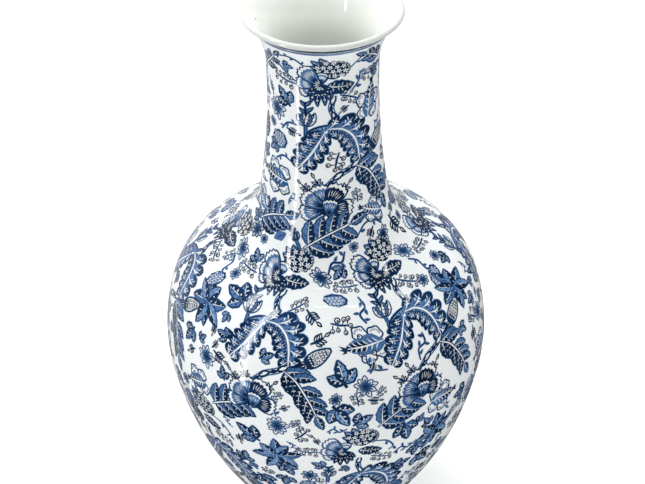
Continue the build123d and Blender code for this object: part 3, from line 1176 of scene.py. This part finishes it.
def glossy_glaze(recipe):
    """What every glazed surface shares: a hard clear gloss with a faint orange-peel ripple."""
    recipe.set("IOR", 1.52)
    recipe.set("Roughness", recipe.span(recipe.noise(40, 2), 0.05, 0.10))
    recipe.bump(recipe.noise(70, 2, 0.4), 0.10, 0.0006)


def white_glaze():
    """Clear glaze over the warm white body, coloured a greyer white over the lip."""
    recipe = Recipe("white_glaze")
    cloud = recipe.clouds(recipe.noise(9, 4), WHITE_LOW, WHITE_HIGH)
    # Greyer white from just above the dark line up over the lip
    cloud = recipe.mix(recipe.above(*LIP_GREYING_HEIGHTS), cloud, linear(WHITE_OVER_LIP))
    grain = recipe.ramp(recipe.noise(700, 2), (0.35, (0.965, 0.965, 0.965)), (0.65, WHITE))
    recipe.set("Base Color", recipe.mix(1.0, cloud, grain, "MULTIPLY"))
    glossy_glaze(recipe)
    return recipe.material


def inside_glaze():
    """The greyer glaze down the mouth, with a few iron specks."""
    recipe = Recipe("inside_glaze")
    cloud = recipe.clouds(recipe.noise(12, 4), INSIDE_LOW, INSIDE_HIGH)
    speck = recipe.ramp(recipe.spots(75), (0.045, BLACK), (0.075, WHITE))
    rare = recipe.ramp(recipe.noise(60, 1), (0.60, WHITE), (0.64, BLACK))
    shown = recipe.mix(1.0, speck, rare, "LIGHTEN")
    recipe.set("Base Color", recipe.mix(shown, linear(IRON), cloud))
    glossy_glaze(recipe)
    return recipe.material


def cobalt(name, thin, full):
    """Cobalt ink under the glaze, pooling darker in places and worn thinner in others."""
    recipe = Recipe(name)
    pool = recipe.clouds(recipe.noise(38, 4, 0.6), thin, full, 0.32, 0.66)
    stipple = recipe.ramp(recipe.noise(1500, 2), (0.30, (0.82, 0.86, 0.92)), (0.62, WHITE))
    recipe.set("Base Color", recipe.mix(0.7, pool, recipe.mix(1.0, pool, stipple, "MULTIPLY")))
    glossy_glaze(recipe)
    return recipe.material


def bare_clay(name, low, high):
    """Unglazed fired clay: dry, slightly speckled and rough to the touch."""
    recipe = Recipe(name)
    cloud = recipe.clouds(recipe.noise(30, 5), low, high, stop=0.70)
    sand = recipe.ramp(recipe.spots(900), (0.10, (0.72, 0.68, 0.62)), (0.22, WHITE))
    recipe.set("Base Color", recipe.mix(0.8, cloud, recipe.mix(1.0, cloud, sand, "MULTIPLY")))
    recipe.set("Roughness", recipe.span(recipe.noise(220, 3), 0.72, 0.92))
    recipe.bump(recipe.noise(900, 4, 0.6), 0.35, 0.0004)
    return recipe.material


def floor_finish():
    """Plain pale studio floor."""
    recipe = Recipe("studio_floor")
    grey = recipe.ramp(recipe.noise(2, 2), (0.3, (0.90, 0.90, 0.90)), (0.7, (0.92, 0.92, 0.92)))
    recipe.set("Base Color", grey)
    recipe.set("Roughness", 0.9)
    recipe.set("Specular IOR Level", 0.1)
    recipe.set("Emission Color", WHITE)
    recipe.set("Emission Strength", FLOOR_GLOW)
    return recipe.material


# ---- build the visual model -----------------------------------------------------------------

LINE_SPREAD = 0.35
LINE_SUNK = -0.05
# The painted lines: the heights each lies between, its colours where thin and full, and its material
LINES = (
    ("dark", 471.5, 473.6, LINE_THIN, LINE_FULL, "line_cobalt"),
    ("fine", 468.8, 470.2, FINE_THIN, FINE_FULL, "fine_cobalt"),
)
PRINT_TOP = run_at_height(466.5)
PRINT_END = 506.0
# The parts of the print: run each starts and ends at, and the node it stands for
ZONES = (
    ("neck", 0.0, 160.0, "neck_print"),
    ("shoulder", 160.0, 290.0, "body_print"),
    ("belly", 290.0, 1000.0, "body_print"),
)


def bead_points(start, end, radius, count):
    """Points on the rolled lip's round section between two angles in degrees."""
    lip_r, lip_z = PROFILE[0]
    a = np.radians(np.linspace(start, end, count))
    return [(lip_r + radius * math.cos(b), lip_z + radius * math.sin(b)) for b in a]


def outer_glaze():
    """The white glaze over the outside, from the crown of the lip to just above the foot."""
    rows = np.concatenate([np.arange(LIP_RADIUS, 60, 1.2), np.arange(60, RUN[-1] - 1, 2.2), [RUN[-1]]])
    lip = np.array(bead_points(92, -128, LIP_RADIUS, 22))
    hidden = np.array(bead_points(-128, 92, LIP_RADIUS - GLAZE_DEPTH, 8))

    def loop(theta):
        out = surface(np.full(len(rows), theta), rows)
        back = surface(np.full(len(rows[::4]), theta), rows[::4][::-1], -GLAZE_DEPTH)
        return np.vstack([upright(lip, theta), out, back, upright(hidden, theta)])

    return turned("outer_glaze_coat", loop)


def line_ring(name, low_z, high_z):
    """A painted line round the mouth, spread a little past the two heights it was laid between."""
    rows = np.linspace(run_at_height(high_z + LINE_SPREAD), run_at_height(low_z - LINE_SPREAD), 6)

    def loop(theta):
        here = np.full(len(rows), theta)
        return np.vstack([surface(here, rows, INK_LIFT), surface(here[::-1], rows[::-1], LINE_SUNK)])

    return turned(name, loop)


def inside_rows():
    """(r, z) points down the inside, from the lip to the middle of the floor."""
    lip_r, lip_z = PROFILE[0]
    bore = THROAT_RADIUS - WALL
    overhang, rise = lip_r - bore, lip_z - THROAT_TOP_Z
    flare = (overhang**2 + rise**2 - LIP_RADIUS**2) / (2 * (overhang - LIP_RADIUS))
    turn = math.atan2(rise, flare - overhang)
    rows = bead_points(92, 180 - math.degrees(turn), LIP_RADIUS, 8)
    rows += flare_points(bore, flare, turn, 24)
    wall = RUN[(RUN > run_at_height(THROAT_TOP_Z) + 1) & (RUN < WALL_END)][::5]
    out_r, out_z = -np.interp(wall, RUN, SLOPE_Z), np.interp(wall, RUN, SLOPE_R)
    r, z = radius_at(wall), np.interp(wall, RUN, PROFILE[:, 1])
    rows += list(zip(r - WALL * out_r, z - WALL * out_z))
    heading = math.radians(sum(degrees for _, degrees in BODY_ARCS))
    corner = [rows[-1]]
    arc_to(corner, heading, FLOOR_ROUND, -90 - math.degrees(heading), 16)
    rows += corner[1:]
    rows.append((0.0, corner[-1][1]))
    return np.array(rows)


def inner_glaze():
    """The glaze down the mouth and over the floor inside."""
    rows = inside_rows()
    behind = rows + sides_of(rows) * GLAZE_DEPTH
    behind[-1, 0] = 0.0
    section = np.vstack([rows, behind[::-1]])
    return turned("inner_glaze_coat", lambda theta: upright(section, theta), backwards=True)


def print_films():
    """Every film of the print: three tones on the neck, the shoulder and the belly."""
    plot = Plot()
    neck_print(plot.place)
    body_print(plot.place)
    for clear, seed in GAP_ROUNDS:
        fill_gaps(plot, PRINT_TOP + clear, PRINT_END - clear, clear, seed)
    plan, by_tone = ink_plan(plot, PRINT_TOP, PRINT_END)
    for tone, tris in by_tone.items():
        run = -plan[tris].mean(axis=1)[:, 1]
        material = cobalt(f"cobalt_{tone}", *INK[tone])
        for zone, low, high, node in ZONES:
            film = ink_film(f"{zone}_ink_{tone}", plan, tris[(run >= low) & (run < high)])
            finish_piece(film, material, "floral_print", node)


def paint_cad_nodes():
    """Clay, slip and base glaze on the nodes that are shown as packed."""
    clay = bare_clay("fired_clay", CLAY_LOW, CLAY_HIGH)
    slip = bare_clay("joint_slip", SLIP_LOW, SLIP_HIGH)
    for name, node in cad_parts.items():
        if name == "base_glaze":
            finish = bpy.data.materials["white_glaze"]
        else:
            finish = slip if name.endswith("_slip") else clay
        node.data.materials.clear()
        node.data.materials.append(finish)


finish_piece(outer_glaze(), white_glaze(), "outer_glaze", "outer_glaze")
finish_piece(inner_glaze(), inside_glaze(), "inner_glaze", "inner_glaze")
for line, low_z, high_z, thin, full, material_name in LINES:
    ring_piece = line_ring(f"{line}_line_ring", low_z, high_z)
    finish_piece(ring_piece, cobalt(material_name, thin, full), f"{line}_cobalt_line", f"{line}_line")
print_films()
paint_cad_nodes()


# ---- studio ---------------------------------------------------------------------------------


def studio_floor(size):
    """A flat square floor, which the glaze doesn't mirror."""
    mesh = bpy.data.meshes.new("studio_floor")
    h = size / 2
    mesh.from_pydata([(-h, -h, 0), (h, -h, 0), (h, h, 0), (-h, h, 0)], [], [(0, 1, 2, 3)])
    mesh.materials.append(floor_finish())
    obj = bpy.data.objects.new("studio_floor", mesh)
    bpy.context.scene.collection.objects.link(obj)
    obj.visible_glossy = False


def panel_light(name, place, wide, tall, power):
    """A rectangular panel light aimed at the middle of the vase, which the camera doesn't see."""
    lamp = bpy.data.lights.new(name, "AREA")
    lamp.shape = "RECTANGLE"
    lamp.size, lamp.size_y = wide, tall
    lamp.energy = power
    obj = bpy.data.objects.new(name, lamp)
    obj.location = place
    obj.rotation_euler = (Vector(MID_HEIGHT) - Vector(place)).to_track_quat("-Z", "Y").to_euler()
    bpy.context.scene.collection.objects.link(obj)
    obj.visible_camera = False
    return obj


def fill_light(name, place, wide, tall, power):
    """Light without a reflection of its own."""
    panel_light(name, place, wide, tall, power).visible_glossy = False


def glint(name, start, end, wide, brightness):
    """A bright strip between two points, seen only as its reflection in the glaze."""
    start, end = Vector(start), Vector(end)
    middle = (start + end) / 2
    tall = (end - start).length
    strip = panel_light(name, middle, wide, tall, brightness * math.pi * wide * tall)
    strip.visible_diffuse = False
    facing = (Vector(MID_HEIGHT) - middle).normalized()
    along = (end - start).normalized()
    across = along.cross(-facing).normalized()
    along = (-facing).cross(across)
    strip.rotation_euler = Matrix((across, along, -facing)).transposed().to_euler()


def surroundings(tree, axis, stops):
    """Grey that runs along an axis, from (position, grey) stops: 0 is against the axis, 1 is along it."""
    toward = tree.nodes.new("ShaderNodeVectorMath")
    toward.operation = "DOT_PRODUCT"
    tree.fill(toward, {0: tree.add("TexCoord", "Generated"), 1: axis})
    spread = tree.add("MapRange", "Result", Value=toward.outputs["Value"], From_Min=-1.0)
    return tree.ramp(spread, *((position, (grey, grey, grey)) for position, grey in stops))


def room_light(shed, mirrored):
    """One set of surroundings lights the vase, a darker one shows in its glaze; each is (axis, stops)."""
    world = bpy.data.worlds.new("studio")
    bpy.context.scene.world = world
    tree = Tree(world)
    glossy = tree.add("LightPath", "Is Glossy Ray")
    colour = tree.mix(glossy, surroundings(tree, *shed), surroundings(tree, *mirrored))
    tree.fill(tree.nodes["Background"], {"Color": colour, "Strength": ROOM_BRIGHTNESS})


ROOM_BRIGHTNESS = 1.15
MID_HEIGHT = (0.0, 0.0, 0.30)  # what every light is aimed at
# Surroundings as an axis and (position along it, grey) stops
SHED = ((-0.20, 0.77, 0.60), ((0.10, 0.24), (0.45, 0.56), (0.72, 1.0)))
MIRRORED = ((-0.34, 0.94, 0.0), ((0.60, 0.01), (0.78, 0.20), (0.95, 0.66)))

# The photo's camera: metres, with the sensor and lens in millimetres
CAMERA_PLACE = (0.0, -0.8775, 0.9365)
LOOK_AT = (0.0, 0.0, 0.2731)
CAMERA_ROLL = math.radians(-0.7)
SENSOR_WIDTH = 36.0
LENS = 77.64
SHIFT_X = -0.0037

studio_floor(12.0)
room_light(SHED, MIRRORED)
fill_light("overhead", (-0.25, 0.30, 1.9), 1.4, 1.4, 18)
fill_light("left_fill", (-1.3, -0.45, 0.9), 0.35, 1.2, 1.2)
glint("left_edge", (-0.92, -0.23, 1.09), (-0.56, 0.03, 1.36), 0.08, 12)
glint("right_edge", (0.95, -0.12, 1.08), (0.74, -0.02, 1.26), 0.05, 12)
glint("near_edge", (-0.13, -0.35, 1.44), (0.50, -0.35, 1.35), 0.03, 6)
glint("tall_strip", (-0.36, -0.30, 0.02), (-0.36, -0.30, 0.80), 0.035, 14)

lens = bpy.data.cameras.new("camera")
lens.sensor_width = SENSOR_WIDTH
lens.lens = LENS
lens.shift_x = SHIFT_X
camera = bpy.data.objects.new("camera", lens)
camera.location = CAMERA_PLACE
aim = (Vector(LOOK_AT) - Vector(CAMERA_PLACE)).to_track_quat("-Z", "Y")
camera.rotation_mode = "QUATERNION"
camera.rotation_quaternion = aim @ Quaternion((0, 0, 1), CAMERA_ROLL)
bpy.context.scene.collection.objects.link(camera)
bpy.context.scene.camera = camera
bpy.context.scene.view_settings.view_transform = "Standard"
